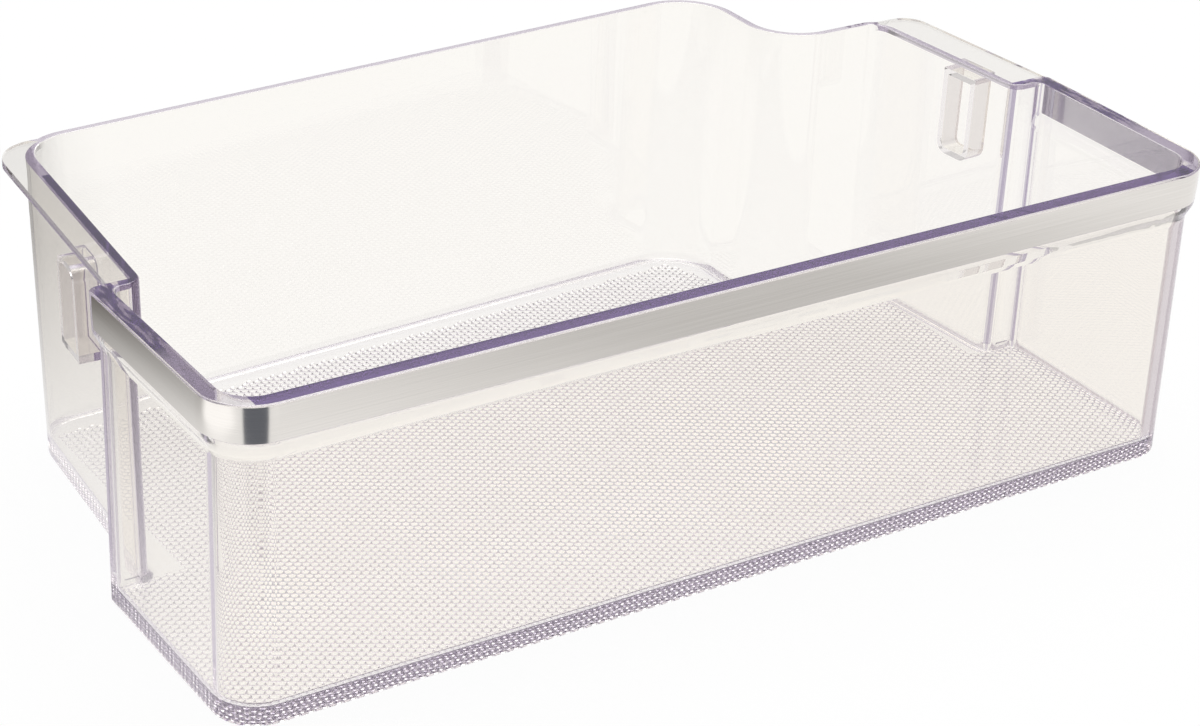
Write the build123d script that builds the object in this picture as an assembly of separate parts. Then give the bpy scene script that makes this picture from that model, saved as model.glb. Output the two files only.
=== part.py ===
from build123d import *
import os
from math import cos, radians, tan

os.makedirs("parts", exist_ok=True)

# Refrigerator door bin: a clear moulded tray with a bright trim let into its rim.
# The wide front half faces -Y. The rear half is narrower and hangs in the door between
# two side flanges and two hook lugs. Its rear wall turns forward near the right end.
# Sizes are millimetres, angles are degrees, and depths are measured from the front face.

# Overall size
BIN_WIDTH = 400.0
BIN_HEIGHT = 117.5
FRONT_DEPTH = 99.0
LEFT_DEPTH = 220.0
PEAK_DEPTH = 236.0
RIGHT_DEPTH = 177.0
RIGHT_END_WIDTH = 70.0

# Moulded sections
WALL = 3.8
REAR_WALL = 2.6
FLOOR = 4.8
FLOOR_FILLET = 3.5
BASE_EDGE = 0.8
TIGHT_CORNER_MARGIN = 0.5

# Rear half: how far it steps in and how its sides close towards the back
STEP_WIDTH = 15.1
REAR_TAPER = 4.5

# Draft of the walls, from rim to base. The steps stand upright.
FRONT_DRAFT = 0.2
REAR_SIDE_DRAFT = 2.0
REAR_DRAFT = 3.0

# Outside corner radii in plan
FRONT_CORNER = 19.0
STEP_CORNER = 3.2
STEP_ROOT = 2.0
LEFT_CORNER = 22.0
RIGHT_CORNER = 9.8
TURN_BEND = 23.0
TURN_ROOT = 20.0
TURN_STRAIGHT = 4.0

# Rim: stands out from the wall, with a lip over the trim and a curve back to the wall under it
RIM_STAND = 3.0
RIM_LIP = 0.8
RIM_CURVE = 8.0
RIM_EDGE = 0.5

# Trim: a strip bedded in the rim, stopping short of the steps. Its face is proudest at the
# crown, a little under its top edge, and falls back from there to both edges.
TRIM_HEIGHT = 12.6
TRIM_THICKNESS = 0.8
TRIM_FALL = 0.35
TRIM_TOP_FALL = 0.1
TRIM_CROWN = 4.2
TRIM_END = 4.0
TRIM_CLEARANCE = 0.05

# Flanges along the top of the rear sides
FLANGE_THICKNESS = 3.0
FLANGE_LEFT = 8.0
FLANGE_RIGHT = 13.6
FLANGE_LEFT_CORNER = 16.0
FLANGE_RIGHT_CORNER = 10.0

# Hook lugs: frames of ribs on the outside of the rear sides, square above and rounded below
LUG_LENGTH = 17.5
LUG_HEIGHT = 35.0
LUG_REACH = 8.5
LUG_RIB = 2.4
LUG_CORNER = 5.0
LUG_LEFT_DROP = 9.5
LUG_RIGHT_DROP = 6.0
LUG_LEFT_SETBACK = 40.0
LUG_RIGHT_SETBACK = 28.0

# Places that follow from the sizes
HALF_WIDTH = BIN_WIDTH / 2
WALL_HALF = HALF_WIDTH - RIM_STAND
WALL_CORNER = FRONT_CORNER - RIM_STAND
STEP_HALF = HALF_WIDTH - STEP_WIDTH
TURN_X = HALF_WIDTH - RIGHT_END_WIDTH
TRIM_TOP = BIN_HEIGHT - RIM_LIP
TRIM_BOTTOM = TRIM_TOP - TRIM_HEIGHT
CURVE_BOTTOM = TRIM_BOTTOM - RIM_CURVE
TIGHT_INSIDE = FLOOR_FILLET + TIGHT_CORNER_MARGIN
OVERRUN = 2.0
UPRIGHT = 0.0

# The turn's two curves shrink together so that some straight wall is left between them.
TURN_FIT = min(1.0, (PEAK_DEPTH - RIGHT_DEPTH) / (TURN_BEND + TURN_ROOT + TURN_STRAIGHT))
BEND_RADIUS = TURN_BEND * TURN_FIT
ROOT_RADIUS = TURN_ROOT * TURN_FIT


def rear_side(depth):
    """Distance of a rear side's outside from the middle of the bin, at rim level."""
    return STEP_HALF - tan(radians(REAR_TAPER)) * (depth - FRONT_DEPTH)


# Outside of the walls at rim level, anticlockwise from the front left corner. Each corner
# has its outside and inside radius, and the draft and thickness of the side that leaves it.
PLAN = [
    ((-WALL_HALF, RIM_STAND), WALL_CORNER, WALL_CORNER - WALL, FRONT_DRAFT, WALL),
    ((WALL_HALF, RIM_STAND), WALL_CORNER, WALL_CORNER - WALL, FRONT_DRAFT, WALL),
    ((WALL_HALF, FRONT_DEPTH), STEP_CORNER, TIGHT_INSIDE, UPRIGHT, WALL),
    ((STEP_HALF, FRONT_DEPTH), STEP_ROOT, STEP_ROOT + WALL, REAR_SIDE_DRAFT, WALL),
    ((rear_side(RIGHT_DEPTH), RIGHT_DEPTH), RIGHT_CORNER, RIGHT_CORNER - WALL, REAR_DRAFT, REAR_WALL),
    ((TURN_X, RIGHT_DEPTH), ROOT_RADIUS, ROOT_RADIUS + REAR_WALL, REAR_DRAFT, REAR_WALL),
    ((TURN_X, PEAK_DEPTH), BEND_RADIUS, BEND_RADIUS - REAR_WALL, REAR_DRAFT, REAR_WALL),
    ((-rear_side(LEFT_DEPTH), LEFT_DEPTH), LEFT_CORNER, LEFT_CORNER - WALL, REAR_SIDE_DRAFT, WALL),
    ((-STEP_HALF, FRONT_DEPTH), STEP_ROOT, STEP_ROOT + WALL, UPRIGHT, WALL),
    ((-WALL_HALF, FRONT_DEPTH), STEP_CORNER, TIGHT_INSIDE, FRONT_DRAFT, WALL),
]


def set_in(corners, distances):
    """Corner points after each side, from one corner to the next, has moved in by its distance."""
    sides = []
    for start, end, distance in zip(corners, corners[1:] + corners[:1], distances):
        along = (Vector(*end) - Vector(*start)).normalized()
        sides.append((Vector(*start) + Vector(-along.Y, along.X) * distance, along))
    moved = []
    for (point, along), (next_point, next_along) in zip(sides[-1:] + sides[:-1], sides):
        reach = (next_point - point).cross(next_along).Z / along.cross(next_along).Z
        moved.append(tuple(point + along * reach)[:2])
    return moved


def rounded(corners, radii):
    """Flat face with straight sides between the corners, each corner rounded to its radius."""
    arcs = []
    neighbours = zip(corners[-1:] + corners[:-1], corners, corners[1:] + corners[:1])
    for (before, here, after), radius in zip(neighbours, radii):
        corner = Vector(*here)
        arriving = (corner - Vector(*before)).normalized()
        leaving = (Vector(*after) - corner).normalized()
        half_turn = radians(arriving.get_angle(leaving) / 2)
        run = radius * tan(half_turn)
        to_middle = (leaving - arriving).normalized() * (radius / cos(half_turn) - radius)
        arcs.append(ThreePointArc(corner - arriving * run, corner + to_middle, corner + leaving * run))
    lines = [Line(arc @ 1, following @ 0) for arc, following in zip(arcs, arcs[1:] + arcs[:1])]
    return make_face(Wire(arcs + lines))


def plan_at(height, inside, flare=0.0):
    """Outline of the walls at a height: their outside, or the space inside them, flared by a distance."""
    fall = (BIN_HEIGHT - height) / BIN_HEIGHT
    distances = [draft * fall - flare + (wall if inside else 0.0) for *_, draft, wall in PLAN]
    corners = set_in([corner for corner, *_ in PLAN], distances)
    radii = [inner if inside else outer for _, outer, inner, *_ in PLAN]
    return Pos(0, 0, height) * rounded(corners, radii)


def lowest_edges(shape):
    return shape.edges().group_by(Axis.Z)[0]


def along_rim(section, back):
    """Carries a section of the rim, inward distance by height, from one step round the front to the other."""
    start = Plane((-HALF_WIDTH, back, 0), x_dir=(1, 0, 0), z_dir=(0, -1, 0))
    line = FilletPolyline(
        (-HALF_WIDTH, back), (-HALF_WIDTH, 0), (HALF_WIDTH, 0), (HALF_WIDTH, back), radius=FRONT_CORNER
    )
    return sweep(start * section, path=line)


def rim():
    """Clear rim of the front half, with the curve under it and rounded rear ends."""
    root = RIM_STAND + WALL + STEP_CORNER
    outside = [(TRIM_FALL, TRIM_BOTTOM), (0, TRIM_TOP), (0, BIN_HEIGHT)]
    face = Polyline(*outside, (root, BIN_HEIGHT), (root, CURVE_BOTTOM))
    foot = Line((root, CURVE_BOTTOM), (RIM_STAND, CURVE_BOTTOM))
    curve = Spline((RIM_STAND, CURVE_BOTTOM), (TRIM_FALL, TRIM_BOTTOM), tangents=((0, 1), (0, 1)))
    shape = along_rim(make_face([*face.edges(), foot, curve]), FRONT_DEPTH)
    ends = shape.edges().filter_by_position(Axis.Y, FRONT_DEPTH, FRONT_DEPTH).filter_by(Axis.X, reverse=True)
    shape = fillet(ends.filter_by(lambda edge: abs(edge.center().X) > WALL_HALF), STEP_CORNER)
    return chamfer(shape.edges().group_by(Axis.Z)[-1], RIM_EDGE)


def trim_pocket():
    section = Pos((TRIM_THICKNESS - OVERRUN) / 2, (TRIM_TOP + TRIM_BOTTOM) / 2) * Rectangle(
        TRIM_THICKNESS + OVERRUN, TRIM_HEIGHT
    )
    return along_rim(section, FRONT_DEPTH - TRIM_END)


def trim_band():
    """Bright strip with a crowned face, clear of its bed all round."""
    top = TRIM_TOP - TRIM_CLEARANCE
    bottom = TRIM_BOTTOM + TRIM_CLEARANCE
    back = TRIM_THICKNESS - TRIM_CLEARANCE
    face = ThreePointArc((TRIM_TOP_FALL, top), (0, TRIM_TOP - TRIM_CROWN), (TRIM_FALL, bottom))
    bed = Polyline((TRIM_FALL, bottom), (back, bottom), (back, top), (TRIM_TOP_FALL, top))
    return along_rim(make_face([face, *bed.edges()]), FRONT_DEPTH - TRIM_END - TRIM_CLEARANCE)


def flange(side, reach, depth, corner, wall_corner):
    """Level flange along the top of a rear side, run on into the rounded corner of the wall behind it.

    Side is -1 for the left and 1 for the right.
    """
    front = FRONT_DEPTH - WALL / 2
    back = depth - WALL / 2
    near = rear_side(front) - WALL
    far = rear_side(back) - wall_corner
    points = [(near, front), (rear_side(front) + reach, front), (rear_side(back) + reach, back), (far, back)]
    plate = Polyline(*[(side * x, y) for x, y in points], close=True)
    outline = fillet(make_face(plate).vertices().sort_by(lambda v: side * v.X + v.Y)[-1], corner)
    return Pos(0, 0, BIN_HEIGHT - FLANGE_THICKNESS) * extrude(outline, FLANGE_THICKNESS)


def lug_outline(inset):
    """Upright rectangle with its two lower corners rounded, set in by a distance all round."""
    outline = Rectangle(LUG_LENGTH - 2 * inset, LUG_HEIGHT - 2 * inset)
    return fillet(outline.vertices().group_by(Axis.Y)[0], LUG_CORNER - inset)


def hook_lug(side, setback, drop):
    """Open frame of ribs that stands square on the sloping outside of a rear side."""
    height = BIN_HEIGHT - drop - LUG_HEIGHT / 2
    depth = FRONT_DEPTH + setback
    lean = REAR_SIDE_DRAFT / BIN_HEIGHT
    across = rear_side(depth) - lean * (BIN_HEIGHT - height)
    back = Vector(-side * tan(radians(REAR_TAPER)), 1, 0)
    up = Vector(side * lean, 0, 1)
    face = Plane((side * across, depth, height), x_dir=back, z_dir=back.cross(up) * side)
    frame = lug_outline(0.0) - lug_outline(LUG_RIB)
    return face * Pos(0, 0, -WALL / 2) * extrude(frame, LUG_REACH + WALL / 2)


def bin_body():
    """The whole clear moulding: walls and floor, rim, flanges and lugs, emptied by the space inside."""
    walls = loft([plan_at(0, False), plan_at(BIN_HEIGHT, False)], ruled=True)
    walls = fillet(lowest_edges(walls), BASE_EDGE)
    shoulder = plan_at(BIN_HEIGHT - RIM_EDGE, True)
    mouth = plan_at(BIN_HEIGHT + OVERRUN, True, RIM_EDGE + OVERRUN)
    space = loft([plan_at(FLOOR, True), shoulder], ruled=True)
    space = fillet(lowest_edges(space), FLOOR_FILLET) + loft([shoulder, mouth], ruled=True)
    solid = walls + rim()
    solid += flange(-1, FLANGE_LEFT, LEFT_DEPTH, FLANGE_LEFT_CORNER, LEFT_CORNER)
    solid += flange(1, FLANGE_RIGHT, RIGHT_DEPTH, FLANGE_RIGHT_CORNER, RIGHT_CORNER)
    solid += hook_lug(-1, LUG_LEFT_SETBACK, LUG_LEFT_DROP)
    solid += hook_lug(1, LUG_RIGHT_SETBACK, LUG_RIGHT_DROP)
    return solid - space - trim_pocket()


body = bin_body()
centring = Pos(0, -body.bounding_box().center().Y, 0)
export_step(centring * body, "parts/bin_body.step")
export_step(centring * trim_band(), "parts/trim_band.step")
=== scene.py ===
# %% [markdown]
# # A clear refrigerator door bin
# This lesson dresses a door bin: one clear moulding with a bright strip let into its rim.
# The solids come ready made and to size, so the work here is the relief under the floor,
# the two finishes, and a white studio that lets clear plastic show its edges.

# %% Load the solids
from math import ceil, pi, radians, sqrt

import bpy
from mathutils import Matrix, Vector


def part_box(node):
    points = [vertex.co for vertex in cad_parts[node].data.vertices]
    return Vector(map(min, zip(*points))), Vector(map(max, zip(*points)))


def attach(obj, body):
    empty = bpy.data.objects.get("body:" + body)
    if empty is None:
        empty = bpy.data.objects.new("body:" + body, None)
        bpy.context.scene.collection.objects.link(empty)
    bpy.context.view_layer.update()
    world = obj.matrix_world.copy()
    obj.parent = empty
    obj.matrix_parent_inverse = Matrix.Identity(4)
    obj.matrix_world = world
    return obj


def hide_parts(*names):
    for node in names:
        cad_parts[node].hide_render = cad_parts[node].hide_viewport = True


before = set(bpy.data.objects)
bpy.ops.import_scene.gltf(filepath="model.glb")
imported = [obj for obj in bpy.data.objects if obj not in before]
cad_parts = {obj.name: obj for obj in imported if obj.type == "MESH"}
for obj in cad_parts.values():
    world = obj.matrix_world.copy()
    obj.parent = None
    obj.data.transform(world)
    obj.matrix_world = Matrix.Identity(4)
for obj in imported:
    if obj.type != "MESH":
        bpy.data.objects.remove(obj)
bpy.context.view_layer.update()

MM = 0.001
low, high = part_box("bin_body")
print("solids", sorted(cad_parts))

# %% [markdown]
# ## Words for shader maths
# A material is a graph of nodes, and arithmetic on it soon becomes a web of Math nodes. Two
# small classes keep it readable: a Wire is the output of a node and takes part in ordinary
# Python sums, and a Finish is a material whose one method adds any other node.


# %% Wires
class Wire:
    """The output of a shader node, with Python's arithmetic."""

    def __init__(self, finish, socket):
        self.finish = finish
        self.socket = socket

    def maths(self, operation, *values):
        return self.finish.node("ShaderNodeMath", {"operation": operation}, dict(enumerate(values)))

    def __add__(self, other):
        return self.maths("ADD", self, other)

    __radd__ = __add__

    def __sub__(self, other):
        return self.maths("SUBTRACT", self, other)

    def __rsub__(self, other):
        return self.maths("SUBTRACT", other, self)

    def __mul__(self, other):
        return self.maths("MULTIPLY", self, other)

    __rmul__ = __mul__

    def __gt__(self, other):
        return self.maths("GREATER_THAN", self, other)

    def __lt__(self, other):
        return self.maths("LESS_THAN", self, other)

    def sine(self):
        return self.maths("SINE", self)

    def near(self, middle, reach):
        """1 within the reach of a middle value, and 0 beyond it."""
        return self.maths("COMPARE", self, middle, reach)

    def between(self, start, end):
        return self.near((start + end) / 2, (end - start) / 2)

    def rise(self, start, end, least=0.0, most=1.0):
        """Goes from least to most while the wire goes from start to end."""
        limits = {"From Min": start, "From Max": end, "To Min": least, "To Max": most}
        return self.finish.node("ShaderNodeMapRange", inputs={"Value": self, **limits})

    def vectors(self, operation, other):
        inputs = {0: self, 1: other}
        return self.finish.node("ShaderNodeVectorMath", {"operation": operation}, inputs, "Value")

    def along(self, axis):
        return self.vectors("DOT_PRODUCT", axis)

    def away_from(self, spot):
        return self.vectors("DISTANCE", spot)

    def parts(self):
        """The x, y and z of a vector."""
        for axis in "XYZ":
            yield self.finish.node("ShaderNodeSeparateXYZ", inputs={0: self}, output=axis)


print("a wire knows", len([word for word in vars(Wire) if not word.startswith("_")]), "words")


# %% Finishes
class Finish:
    """A material, or the world, as a growing set of nodes."""

    def __init__(self, owner):
        owner.use_nodes = True
        self.owner = owner
        self.tree = owner.node_tree
        self.tree.nodes.clear()

    def node(self, kind, settings=None, inputs=None, output=0):
        """Adds a node, sets it up, feeds its sockets and returns one of its outputs."""
        made = self.tree.nodes.new(kind)
        for name, value in (settings or {}).items():
            if name == "stops":
                self.set_stops(made.color_ramp.elements, value)
            else:
                setattr(made, name, value)
        for name, value in (inputs or {}).items():
            socket = made.inputs[name]
            if isinstance(value, Wire):
                self.tree.links.new(value.socket, socket)
            elif socket.type == "RGBA":
                socket.default_value = (*value, 1.0)
            else:
                socket.default_value = value
        return Wire(self, made.outputs[output] if made.outputs else None)

    def set_stops(self, ramp, stops):
        for number, (position, colour) in enumerate(stops):
            stop = ramp[number] if number < len(ramp) else ramp.new(position)
            stop.position = position
            stop.color = (*colour, 1.0)

    def ramp(self, factor, *stops):
        return self.node("ShaderNodeValToRGB", {"stops": stops}, {"Fac": factor})

    def blend(self, factor, first, second):
        """The first colour where the factor is 0, and the second where it is 1."""
        inputs = {"Fac": factor, "Color1": first, "Color2": second}
        return self.node("ShaderNodeMixRGB", inputs=inputs)

    def dress(self, piece, **sockets):
        self.node("ShaderNodeOutputMaterial", inputs=sockets)
        piece.data.materials.clear()
        piece.data.materials.append(self.owner)
        print(self.owner.name, "on", piece.name, "with", len(self.tree.nodes), "nodes")


def new_finish(name):
    return Finish(bpy.data.materials.new(name))


print("a finish knows", len([word for word in vars(Finish) if not word.startswith("_")]), "words")

# %% [markdown]
# ## The relief under the floor
# The underside of the floor is covered with small round beads in a honeycomb, so that
# scratches and drips don't show. They could be a bump map, but in clear plastic every bead
# bends the light like a lens, so they are real. One bead starts as a filled six-sided circle
# whose face is inset and pushed down in one go, and smooth shading rounds it later. Two beads
# make a rectangular unit that can be repeated in rows and columns.

# %% One bead, then a pair
BEAD_SIDES = 6
BEAD_PITCH = 2.95 * MM
BEAD_DEPTH = 0.76 * MM
BEAD_FLANK = 0.53 * MM
BEAD_LIFT = 0.02 * MM
COLUMN = BEAD_PITCH * sqrt(3) / 2


def deselect():
    bpy.ops.object.select_all(action="DESELECT")


def active():
    return bpy.context.view_layer.objects.active


def edit(select="SELECT"):
    bpy.ops.object.mode_set(mode="EDIT")
    bpy.ops.mesh.select_all(action=select)


def leave_edit():
    bpy.ops.object.mode_set(mode="OBJECT")


deselect()
bpy.ops.mesh.primitive_circle_add(
    vertices=BEAD_SIDES,
    radius=BEAD_PITCH / sqrt(3),
    fill_type="NGON",
    location=(low.x - COLUMN, low.y - BEAD_PITCH, BEAD_DEPTH + BEAD_LIFT),
    rotation=(0, 0, pi / BEAD_SIDES),
)
relief = active()
relief.name = "relief_slab"
bpy.ops.object.transform_apply(location=True, rotation=True, scale=True)
edit()
bpy.ops.mesh.inset(thickness=BEAD_FLANK, depth=-BEAD_DEPTH)
bpy.ops.mesh.select_all(action="SELECT")
bpy.ops.mesh.duplicate_move(TRANSFORM_OT_translate={"value": (COLUMN, BEAD_PITCH / 2, 0)})
leave_edit()
print("bead pair", len(relief.data.polygons), "faces")

# %% [markdown]
# Two Array modifiers spread the pair over more than the whole floor. They weld the edges that
# meet, so the beads become one sheet.

# %% Spread the pairs
WELD = 0.01 * MM
SPARE_PAIRS = 2


def spread(piece, step, length):
    array = piece.modifiers.new("spread", "ARRAY")
    array.use_relative_offset = False
    array.use_constant_offset = True
    array.constant_offset_displace = step
    array.count = ceil(length / Vector(step).length) + SPARE_PAIRS
    array.use_merge_vertices = True
    array.merge_threshold = WELD
    bpy.ops.object.modifier_apply(modifier=array.name)


spread(relief, (2 * COLUMN, 0, 0), high.x - low.x)
spread(relief, (0, BEAD_PITCH, 0), high.y - low.y)
edit()
bpy.ops.mesh.remove_doubles(threshold=WELD)
leave_edit()
print("bead sheet", len(relief.data.polygons), "faces")

# %% [markdown]
# The pattern reaches the edges of the front half, but stops short of the rear and side walls
# behind the steps, and follows the turn of the rear wall. A face is kept or deleted by the
# place of its bead's middle, so that no bead is cut in two.

# %% Keep the patterned patch
STEP_Y = -18.6 * MM
PATCH_LEFT, PATCH_RIGHT = -166 * MM, 173 * MM
PATCH_REAR, PATCH_REAR_SLOPE = 99 * MM, 0.06
PATCH_TURN, PATCH_TURN_SLOPE = 113 * MM, 3.1
PATCH_END = 40 * MM
first_bead = Vector((low.x - COLUMN, low.y - BEAD_PITCH))


def bead_middle(place):
    column = round((place.x - first_bead.x) / COLUMN)
    shift = first_bead.y + column % 2 * BEAD_PITCH / 2
    row = round((place.y - shift) / BEAD_PITCH)
    return first_bead.x + column * COLUMN, shift + row * BEAD_PITCH


def patterned(across, back):
    if back < STEP_Y:
        return True
    rear = PATCH_REAR + PATCH_REAR_SLOPE * across
    rear -= max(0, across - PATCH_TURN) * PATCH_TURN_SLOPE
    return PATCH_LEFT < across < PATCH_RIGHT and back < max(rear, PATCH_END)


edit("DESELECT")
bpy.ops.mesh.select_mode(type="FACE")
leave_edit()
for face in relief.data.polygons:
    face.select = not patterned(*bead_middle(face.center))
bpy.ops.object.mode_set(mode="EDIT")
bpy.ops.mesh.delete(type="FACE")
leave_edit()
print("bead patch", len(relief.data.polygons), "faces")

# %% [markdown]
# A Boolean needs a closed body, so the border of the patch is extruded down, past the floor's
# underside, and filled. The result is a slab whose top is the negative of the beads.

# %% Close the slab
SLAB_DEPTH = 3 * MM

edit("DESELECT")
bpy.ops.mesh.select_mode(type="EDGE")
bpy.ops.mesh.select_non_manifold()
bpy.ops.mesh.extrude_edges_move(TRANSFORM_OT_translate={"value": (0, 0, -SLAB_DEPTH)})
bpy.ops.mesh.edge_face_add()
bpy.ops.mesh.select_all(action="SELECT")
bpy.ops.mesh.normals_make_consistent(inside=False)
bpy.ops.mesh.select_mode(type="VERT")
leave_edit()
print("relief slab", len(relief.data.polygons), "faces")

# %% [markdown]
# ## The clear moulding
# The bin is a copy of its solid, with its triangles welded, and the slab is taken away from
# the underside. Boolean keeps the mesh closed, which glass needs: light has to find a way out
# for every way in. Weighted normals then keep the broad walls flat up to their rounded edges.

# %% Cut the relief out of the floor
SOLID_WELD = 0.001 * MM

deselect()
clear_bin = bpy.data.objects.new("clear_bin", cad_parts["bin_body"].data.copy())
bpy.context.collection.objects.link(clear_bin)
bpy.context.view_layer.objects.active = clear_bin
clear_bin.select_set(True)
edit()
bpy.ops.mesh.remove_doubles(threshold=SOLID_WELD)
bpy.ops.mesh.customdata_custom_splitnormals_clear()
leave_edit()
cut = clear_bin.modifiers.new("relief", "BOOLEAN")
cut.operation = "DIFFERENCE"
cut.solver = "MANIFOLD"
cut.object = relief
bpy.ops.object.modifier_apply(modifier=cut.name)
bpy.data.objects.remove(relief)
triangles = sum(len(face.vertices) - 2 for face in clear_bin.data.polygons)
print("clear bin", len(clear_bin.data.polygons), "faces,", triangles, "triangles")

# %% Smooth the walls and the beads
SMOOTH_ANGLE = 56
FLAT_WEIGHT = 100

bpy.ops.object.shade_smooth_by_angle(angle=radians(SMOOTH_ANGLE))
flat = clear_bin.modifiers.new("flat", "WEIGHTED_NORMAL")
flat.keep_sharp = True
flat.weight = FLAT_WEIGHT
bpy.ops.object.modifier_apply(modifier=flat.name)
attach(clear_bin, "root")
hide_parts("bin_body")
print("clear bin smoothed below", SMOOTH_ANGLE, "degrees")

# %% [markdown]
# ## Clear plastic
# The plastic is colourless to look through, with a faint cream cast, and violet along its
# edges. In the real bin light runs inside the walls for many centimetres and comes out of an
# edge coloured, but a render follows it for a few turns only. So a little absorption colours
# the thick places, and the edges get painted shade and painted light as well. Each painted tint
# is a mask made from a point's place and from the way its face looks, and each is blended over
# the one before.

# %% Place and facing
CAST = (1.0, 0.984, 0.94)
UPRIGHT_REACH = 0.3

plastic = new_finish("clear_plastic")
spot = plastic.node("ShaderNodeTexCoord", output="Object")
x, y, z = spot.parts()
facing = plastic.node("ShaderNodeNewGeometry", output="True Normal")
facing_right, facing_back, facing_up = facing.parts()
upright = facing_up.near(0.0, UPRIGHT_REACH)
in_front = y < STEP_Y
print("place and facing use", len(plastic.tree.nodes), "nodes")

# %% [markdown]
# From above, the rim is a dark violet ribbon along the front and the left side: the violet is
# partly the plastic's own tint, and the darkness is painted shade. At the front corners it is
# painted paler, as painted light that the curve lets out. On the left, painted pale waves cross
# it, for the wall below shining through. Stretched noise makes the waves.

# %% Where the rim is violet and painted dark
TOP_REACH = 0.2 * MM
LEVEL_REACH = 0.05
LEFT_HALF = -150 * MM
LEFT_TOP = -184.5 * MM
SIDE_TAPER = 0.0787
VIOLET_REAR = 70 * MM
CORNER_X = 188 * MM
CORNER_START, CORNER_END = -82 * MM, -68 * MM
CORNER_PAINTED_PALING = 0.85

rim_top = (z > high.z - TOP_REACH) * facing_up.near(1.0, LEVEL_REACH)
taper = (y - STEP_Y) * SIDE_TAPER
left_rear = (x < LEFT_HALF) * (x - taper > LEFT_TOP) * (y < VIOLET_REAR)
between_corners = x.near(0.0, CORNER_X)
front_corner = (1 - y.rise(CORNER_START, CORNER_END)) * (1 - between_corners)
# painted shade: the rim top dark violet, painted paler at the front corners
painted_rim_shade = rim_top * (in_front + left_rear) * (1 - front_corner * CORNER_PAINTED_PALING)
print("violet rim back to", VIOLET_REAR / MM, "mm on the left")

# %% Colour the rim with painted shade and light
WAVE_SCALE = (500.0, 90.0, 0.0)
RIM_SHADE_STOPS = (0.44, (0.035, 0.015, 0.10)), (0.51, (0.10, 0.06, 0.18)), (0.58, (0.6, 0.52, 0.6))

stretched = plastic.node("ShaderNodeMapping", inputs={"Vector": spot, "Scale": WAVE_SCALE})
wave_inputs = {"Vector": stretched, "Scale": 1.0, "Detail": 1.0}
waves = plastic.node("ShaderNodeTexNoise", inputs=wave_inputs)
# painted shade and painted light: dark violet, crossed by pale waves of the wall shining through
rim_shade_colour = plastic.ramp(waves * (1 - between_corners), *RIM_SHADE_STOPS)
rim_tint_and_shade = plastic.blend(painted_rim_shade, CAST, rim_shade_colour)
print("rim colour has", len(RIM_SHADE_STOPS), "stops")

# %% [markdown]
# Low on the outside of the front half, the edge of the floor is painted on as a band: a painted
# view of its beads, seen edge on through the wall, as a lattice of slanting lines, and a painted
# line of shade closes the band above. Two crossed sines make the lattice.

# %% The painted band along the floor's edge
BEAD_TOP, BAND_TOP, LINE_TOP = 1.2 * MM, 7.2 * MM, 7.8 * MM
LATTICE_STEP = 0.75 * BEAD_PITCH
LATTICE_SLOPE = 1.2
HALF = 0.5
PAINTED_BAND_STOPS = (
    (0.25, (0.16, 0.135, 0.185)),
    (0.55, (0.28, 0.245, 0.295)),
    (0.85, (0.68, 0.65, 0.68)),
)
PAINTED_LINE_SHADE = (0.16, 0.135, 0.175)

outer_front = upright * (facing.along(spot) > 0.0) * in_front
round_bin = x - y
climbing = ((round_bin + z * LATTICE_SLOPE) * (pi / LATTICE_STEP)).sine()
falling = ((round_bin - z * LATTICE_SLOPE) * (pi / LATTICE_STEP)).sine()
# a painted view of the beads through the wall, and above it a painted line of shade
painted_band_colour = plastic.ramp(climbing * falling * HALF + HALF, *PAINTED_BAND_STOPS)
painted_band_tint = plastic.blend(z.between(BEAD_TOP, BAND_TOP) * outer_front, rim_tint_and_shade, painted_band_colour)
line_shade_tint = plastic.blend(z.between(BAND_TOP, LINE_TOP) * outer_front, painted_band_tint, PAINTED_LINE_SHADE)
print("band from", BEAD_TOP / MM, "to", BAND_TOP / MM, "mm above the underside")

# %% [markdown]
# The upright corners get narrow lines of painted shade: violet in the two steps, brownish in the
# right front corner. Where a wall turns, its facing has a part to the side and a part to the
# back, and the product of the two is largest in the middle of the turn.

# %% Painted shade lines in the upright corners
STEP_REACH = 5 * MM
STEP_TURN, STEP_SHARE, STEP_SHADE_COLOUR = 0.19, 0.8, (0.36, 0.30, 0.44)
RIGHT_CORNER_X, RIGHT_CORNER_Y = 184 * MM, -95 * MM
CORNER_TURN, CORNER_SHARE, CORNER_SHADE_COLOUR = 0.10, 0.8, (0.42, 0.34, 0.38)

# painted shade lines where the walls turn
turning = facing_right * facing_right * facing_back * facing_back * upright
step_shade_line = (turning > STEP_TURN) * y.near(STEP_Y, STEP_REACH)
step_shade_tint = plastic.blend(step_shade_line * STEP_SHARE, line_shade_tint, STEP_SHADE_COLOUR)
corner_shade_line = (turning > CORNER_TURN) * (x > RIGHT_CORNER_X) * (y < RIGHT_CORNER_Y)
corner_shade_tint = plastic.blend(corner_shade_line * CORNER_SHARE, step_shade_tint, CORNER_SHADE_COLOUR)
print("corner lines stand at", STEP_Y / MM, "and before", RIGHT_CORNER_Y / MM, "mm")

# %% [markdown]
# The flanges and the hook lugs are thin plates, and their cut edges get violet painted shade
# too. The flange's edge is found beyond the wall, which tapers, and the lugs' by their place.
# Only their faces to the front and back are painted.

# %% Painted shade on the edges of the flanges and lugs
EDGE_SHADE_COLOUR = (0.30, 0.25, 0.36)
FLANGE_X = 188.5 * MM
FLANGE_UNDER = 114.4 * MM
FLANGE_SHARE = 0.6
LUG_X = 182 * MM
LUG_FRONT, LUG_REAR = -1 * MM, 32 * MM
LUG_FOOT, LUG_HEAD = 72 * MM, 112 * MM
LUG_SHARE = 0.25
SIDEWAYS_REACH = 0.5

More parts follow.
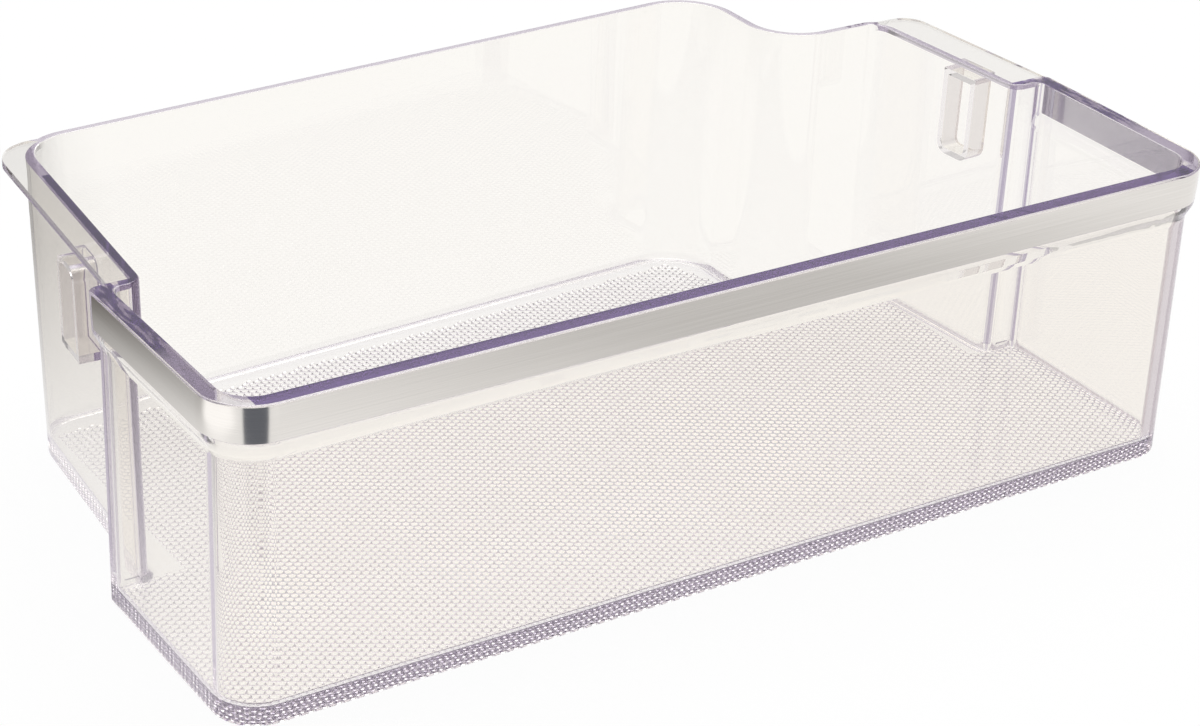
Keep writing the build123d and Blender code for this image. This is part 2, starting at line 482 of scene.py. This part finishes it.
beyond_wall = (x - taper < -FLANGE_X) + (x + taper > FLANGE_X)
flange_edge = beyond_wall * (z > FLANGE_UNDER) * upright * (y > STEP_Y + STEP_REACH)
lug = (x * x > LUG_X * LUG_X) * y.between(LUG_FRONT, LUG_REAR) * z.between(LUG_FOOT, LUG_HEAD)
lug_edge = lug * (1 - facing_back.near(0.0, SIDEWAYS_REACH))
# painted violet shade on the cut edges of flanges and lugs
edges = flange_edge * FLANGE_SHARE + lug_edge * LUG_SHARE
edge_shade_tint = plastic.blend(edges, corner_shade_tint, EDGE_SHADE_COLOUR)
print("tints use", len(plastic.tree.nodes), "nodes")

# %% [markdown]
# One Principled shader with full transmission carries all the tints and the painted shade.
# Light that has turned many times in a bead or a corner would come back black, because the
# render gives up on it, while in the real bin it finds a way out. A Mix Shader hands such light
# a pale glow instead. Absorption belongs to the volume, so it has an output of its own.

# %% Put the plastic together
IOR = 1.57
DEEP = 8
AFTERGLOW = (0.9, 0.88, 0.91)
ABSORPTION, DENSITY = (0.17, 0.03, 0.265), 11.0

moulded = plastic.node(
    "ShaderNodeBsdfPrincipled",
    inputs={"Base Color": edge_shade_tint, "Roughness": 0.0, "IOR": IOR, "Transmission Weight": 1.0},
)
wandered = plastic.node("ShaderNodeLightPath", output="Ray Depth") > DEEP
afterglow = plastic.node("ShaderNodeEmission", inputs={"Color": AFTERGLOW, "Strength": 1.0})
clear = plastic.node("ShaderNodeMixShader", inputs={0: wandered, 1: moulded, 2: afterglow})
inside = plastic.node(
    "ShaderNodeVolumeAbsorption", inputs={"Color": ABSORPTION, "Density": DENSITY}
)
plastic.dress(clear_bin, Surface=clear, Volume=inside)

# %% [markdown]
# ## Satin silver
# The strip is bright metal with a fine grain drawn along its length. Noise that is squeezed in
# height and stretched along the strip makes the grain, in colour and in gloss. The back of the
# strip, seen through the rim, is painted cooler and darker, as painted shade.

# %% The satin silver finish
GRAIN_SCALE = (20.0, 20.0, 4000.0)
SILVER_STOPS = (0.3, (0.74, 0.71, 0.675)), (0.7, (0.80, 0.77, 0.735))
SHADED_BACK_SILVER = (0.57, 0.57, 0.67)
LEAST_ROUGHNESS, GRAIN_ROUGHNESS = 0.1, 0.1

silver = new_finish("satin_silver")
strip_spot = silver.node("ShaderNodeTexCoord", output="Object")
drawn_out = silver.node("ShaderNodeMapping", inputs={"Vector": strip_spot, "Scale": GRAIN_SCALE})
grain_inputs = {"Vector": drawn_out, "Scale": 1.0, "Detail": 2.0}
grain = silver.node("ShaderNodeTexNoise", inputs=grain_inputs)
strip_facing = silver.node("ShaderNodeNewGeometry", output="True Normal")
strip_back = strip_facing.along(strip_spot) < 0.0
# the back of the strip painted darker and cooler, as shade
strip_grain_and_shade = silver.blend(strip_back, silver.ramp(grain, *SILVER_STOPS), SHADED_BACK_SILVER)
gloss = LEAST_ROUGHNESS + grain * GRAIN_ROUGHNESS
satin = silver.node(
    "ShaderNodeBsdfPrincipled",
    inputs={"Base Color": strip_grain_and_shade, "Metallic": 1.0, "Roughness": gloss},
)
silver.dress(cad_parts["trim_band"], Surface=satin)

# %% [markdown]
# ## The studio floor
# Clear plastic and metal are seen by what stands around them. The floor is one large sheet of
# white paper. The Light Path node says what kind of ray has met it, so that the paper can be
# plain white to the camera and shaded for reflections and refractions. A ray that has passed
# through glass counts as glossy too, so a mirrored ray is one that is glossy and no more.

# %% Lay the floor
FLOOR_SIZE = 12.0

deselect()
bpy.ops.mesh.primitive_plane_add(size=FLOOR_SIZE, location=(0, 0, low.z))
floor = active()
floor.name = "studio_floor"
paper = new_finish("studio_paper")
floor_spot = paper.node("ShaderNodeTexCoord", output="Object")
to_camera, glossy, through = (
    paper.node("ShaderNodeLightPath", output=f"Is {kind} Ray")
    for kind in ("Camera", "Glossy", "Transmission")
)
mirrored = glossy * (1 - through)
print("floor", FLOOR_SIZE, "metres across")

# %% [markdown]
# Near the bin the paper darkens to the left and to the right, which draws the side walls and
# greys the left run of the strip. A soft grey spot in front shades the middle of the strip.
# Each shade rises between two parallel lines, given by an axis and two distances along it.

# %% Shade the floor around the bin
WHITE = (1.0, 1.0, 1.0)
DIM = (0.2, 0.19, 0.18)
VIEW_SIDE = (0.834, -0.552, 0.0)
LEFT_THROUGH = (1.0, -0.35, 0.0), -0.42, -0.16
LEFT_MIRRORED = (1.0, -1.5, 0.0), -0.6, -0.3
RIGHT_END = VIEW_SIDE, 0.75, 0.55
SHADED_FAR, SHADED_NEAR = 1.0, 0.6
GREY_SPOT, GREY_FAR, GREY_NEAR, GREY_SHARE = (0.12, -0.30, 0.0), 0.22, 0.06, 0.4


def shade(axis, start, end):
    return floor_spot.along(axis).rise(start, end)


left_through = shade(*LEFT_THROUGH)
left = left_through + (shade(*LEFT_MIRRORED) - left_through) * mirrored
close = floor_spot.away_from((0.0, 0.0, 0.0)).rise(SHADED_FAR, SHADED_NEAR)
grey = floor_spot.away_from(GREY_SPOT).rise(GREY_FAR, GREY_NEAR) * GREY_SHARE
bright = (1 - close * (1 - left * shade(*RIGHT_END))) * (1 - grey * mirrored)
shaded = paper.blend(bright, DIM, WHITE)
print("floor shaded within", SHADED_FAR, "metres")

# %% [markdown]
# The rounded left corner of the strip mirrors a wide stretch of the floor in a few millimetres.
# A white card there gives it a glint, and a dark card beside it the dark bar that makes metal
# look like metal. A card is the product of the shades at its sides.

# %% Cards for the corner of the strip
SLATE = (0.15, 0.16, 0.185)
CARD = (1.3, 1.3, 1.3)
ACROSS, BACK = (1.0, 0.0, 0.0), (0.0, 1.0, 0.0)
SLATE_SIDES = (
    ((1.0, -0.9, 0.0), -0.0965, -0.0845),
    ((1.0, 0.10, 0.0), -0.190, -0.202),
    (BACK, -0.2, -0.22),
)
CARD_SIDES = (
    (ACROSS, -0.335, -0.37),
    (ACROSS, -0.5, -0.44),
    (BACK, 0.05, 0.0),
    (BACK, -0.26, -0.2),
)


def card(colour, sides, under):
    cover = mirrored
    for side in sides:
        cover = cover * shade(*side)
    return paper.blend(cover, under, colour)


carded = card(CARD, CARD_SIDES, card(SLATE, SLATE_SIDES, shaded))
print("floor has", len(paper.tree.nodes), "nodes with its cards")

# %% [markdown]
# The camera, reflections and refractions see the paper's own glow. A small share of plain
# matt paper stays in what the camera sees, to keep the bin's soft shadow, and in all other
# light. From below, the paper is clear, so that the bin can be looked at from there.

# %% Put the paper together
PAPER = (0.9, 0.9, 0.9)
SHADOW_SHARE = 0.04

matt = paper.node("ShaderNodeBsdfDiffuse", inputs={"Color": PAPER})
shown = paper.blend(to_camera, carded, WHITE)
glow = paper.node("ShaderNodeEmission", inputs={"Color": shown, "Strength": 1.0})
glowing = to_camera * (1 - SHADOW_SHARE) + mirrored + through
lit = paper.node("ShaderNodeMixShader", inputs={0: glowing, 1: matt, 2: glow})
bare = paper.node("ShaderNodeBsdfTransparent")
from_below = paper.node("ShaderNodeNewGeometry", output="Backfacing")
sheet = paper.node("ShaderNodeMixShader", inputs={0: from_below, 1: lit, 2: bare})
paper.dress(floor, Surface=sheet)

# %% [markdown]
# ## The sky
# The world is a dome, white to the camera and below the horizon. For all other rays it is
# bright in the middle behind the bin and from half height up, and darker low at both sides and
# behind the camera. Those darker parts give the edges of clear walls something to bend into
# view.

# %% Shade the sky
UP = (0.0, 0.0, 1.0)
BLACK = (0.0, 0.0, 0.0)
VIEW_BACK = (0.53, 0.80, 0.29)
BACK_START, BACK_END, FRONT_LEVEL, BACK_LEVEL = -0.2, 0.2, 0.2, 0.65
SIDE_START, SIDE_END, SIDE_LEVEL = 0.3, 0.05, 0.25
HIGH_START, HIGH_END, HIGH_LEVEL = 0.3, 0.6, 0.35

world = bpy.data.worlds.new("studio")
bpy.context.scene.world = world
sky = Finish(world)
heading = sky.node("ShaderNodeTexCoord", output="Generated")
plain = sky.node("ShaderNodeLightPath", output="Is Camera Ray")
depth_level = heading.along(VIEW_BACK).rise(BACK_START, BACK_END, FRONT_LEVEL, BACK_LEVEL)
aside = heading.along(VIEW_SIDE)
middle = (aside * aside).rise(SIDE_START, SIDE_END, SIDE_LEVEL)
height = heading.along(UP)
above = height.rise(HIGH_START, HIGH_END)
level = depth_level * (middle + (1 - middle) * above) + above * HIGH_LEVEL
sky_colour = sky.ramp(level + (height < 0.0) + plain, (0.0, BLACK), (1.0, WHITE))
background = sky.node("ShaderNodeBackground", inputs={"Color": sky_colour, "Strength": 1.0})
sky.node("ShaderNodeOutputWorld", inputs={"Surface": background})
print("sky has", len(sky.tree.nodes), "nodes")

# %% [markdown]
# ## Light
# One large soft lamp overhead lays a faint shadow on the paper. The glow of the studio does
# the rest, because clear plastic and metal show light and hardly catch it.

# %% Hang the lamp
LAMP_PLACE = Vector((0.2, 0.3, 1.5))
LAMP_WIDTH, LAMP_LENGTH = 1.6, 1.2
LAMP_POWER = 14.0

lamp_data = bpy.data.lights.new("overhead", "AREA")
lamp_data.shape = "RECTANGLE"
lamp_data.size = LAMP_WIDTH
lamp_data.size_y = LAMP_LENGTH
lamp_data.energy = LAMP_POWER
lamp = bpy.data.objects.new("overhead", lamp_data)
bpy.context.collection.objects.link(lamp)
lamp.location = LAMP_PLACE
lamp.rotation_euler = (-LAMP_PLACE).to_track_quat("-Z", "Y").to_euler()
print("lamp", LAMP_POWER, "watts at", tuple(round(value, 2) for value in LAMP_PLACE))

# %% [markdown]
# ## Camera
# The camera stands in front and to the left, above the rim. A long lens keeps the uprights
# nearly parallel. Its place and turn were fitted to the lines of the rim, base and corners.

# %% Place the camera
LENS = 90.01
CAMERA_PLACE = (-0.5388, -0.82985, 0.5435)
YAW, PITCH, ROLL = -33.539, -27.277, 2.421
LEVEL_TURN = 90
BOUNCES = 18

camera_data = bpy.data.cameras.new("camera")
camera_data.lens = LENS
camera = bpy.data.objects.new("camera", camera_data)
bpy.context.collection.objects.link(camera)
yaw = Matrix.Rotation(radians(YAW), 4, "Z")
pitch = Matrix.Rotation(radians(LEVEL_TURN + PITCH), 4, "X")
roll = Matrix.Rotation(radians(ROLL), 4, "Z")
camera.matrix_world = Matrix.Translation(CAMERA_PLACE) @ yaw @ pitch @ roll
scene = bpy.context.scene
scene.camera = camera
scene.view_settings.view_transform = "Standard"
scene.cycles.max_bounces = BOUNCES
scene.cycles.glossy_bounces = BOUNCES
scene.cycles.transmission_bounces = BOUNCES
print("camera", LENS, "mm lens at", CAMERA_PLACE)

# %% [markdown]
# ## Sizes
# The relief is cut out of the floor and adds nothing outside it, so the dressed bin has to
# fill the same box as its solids.
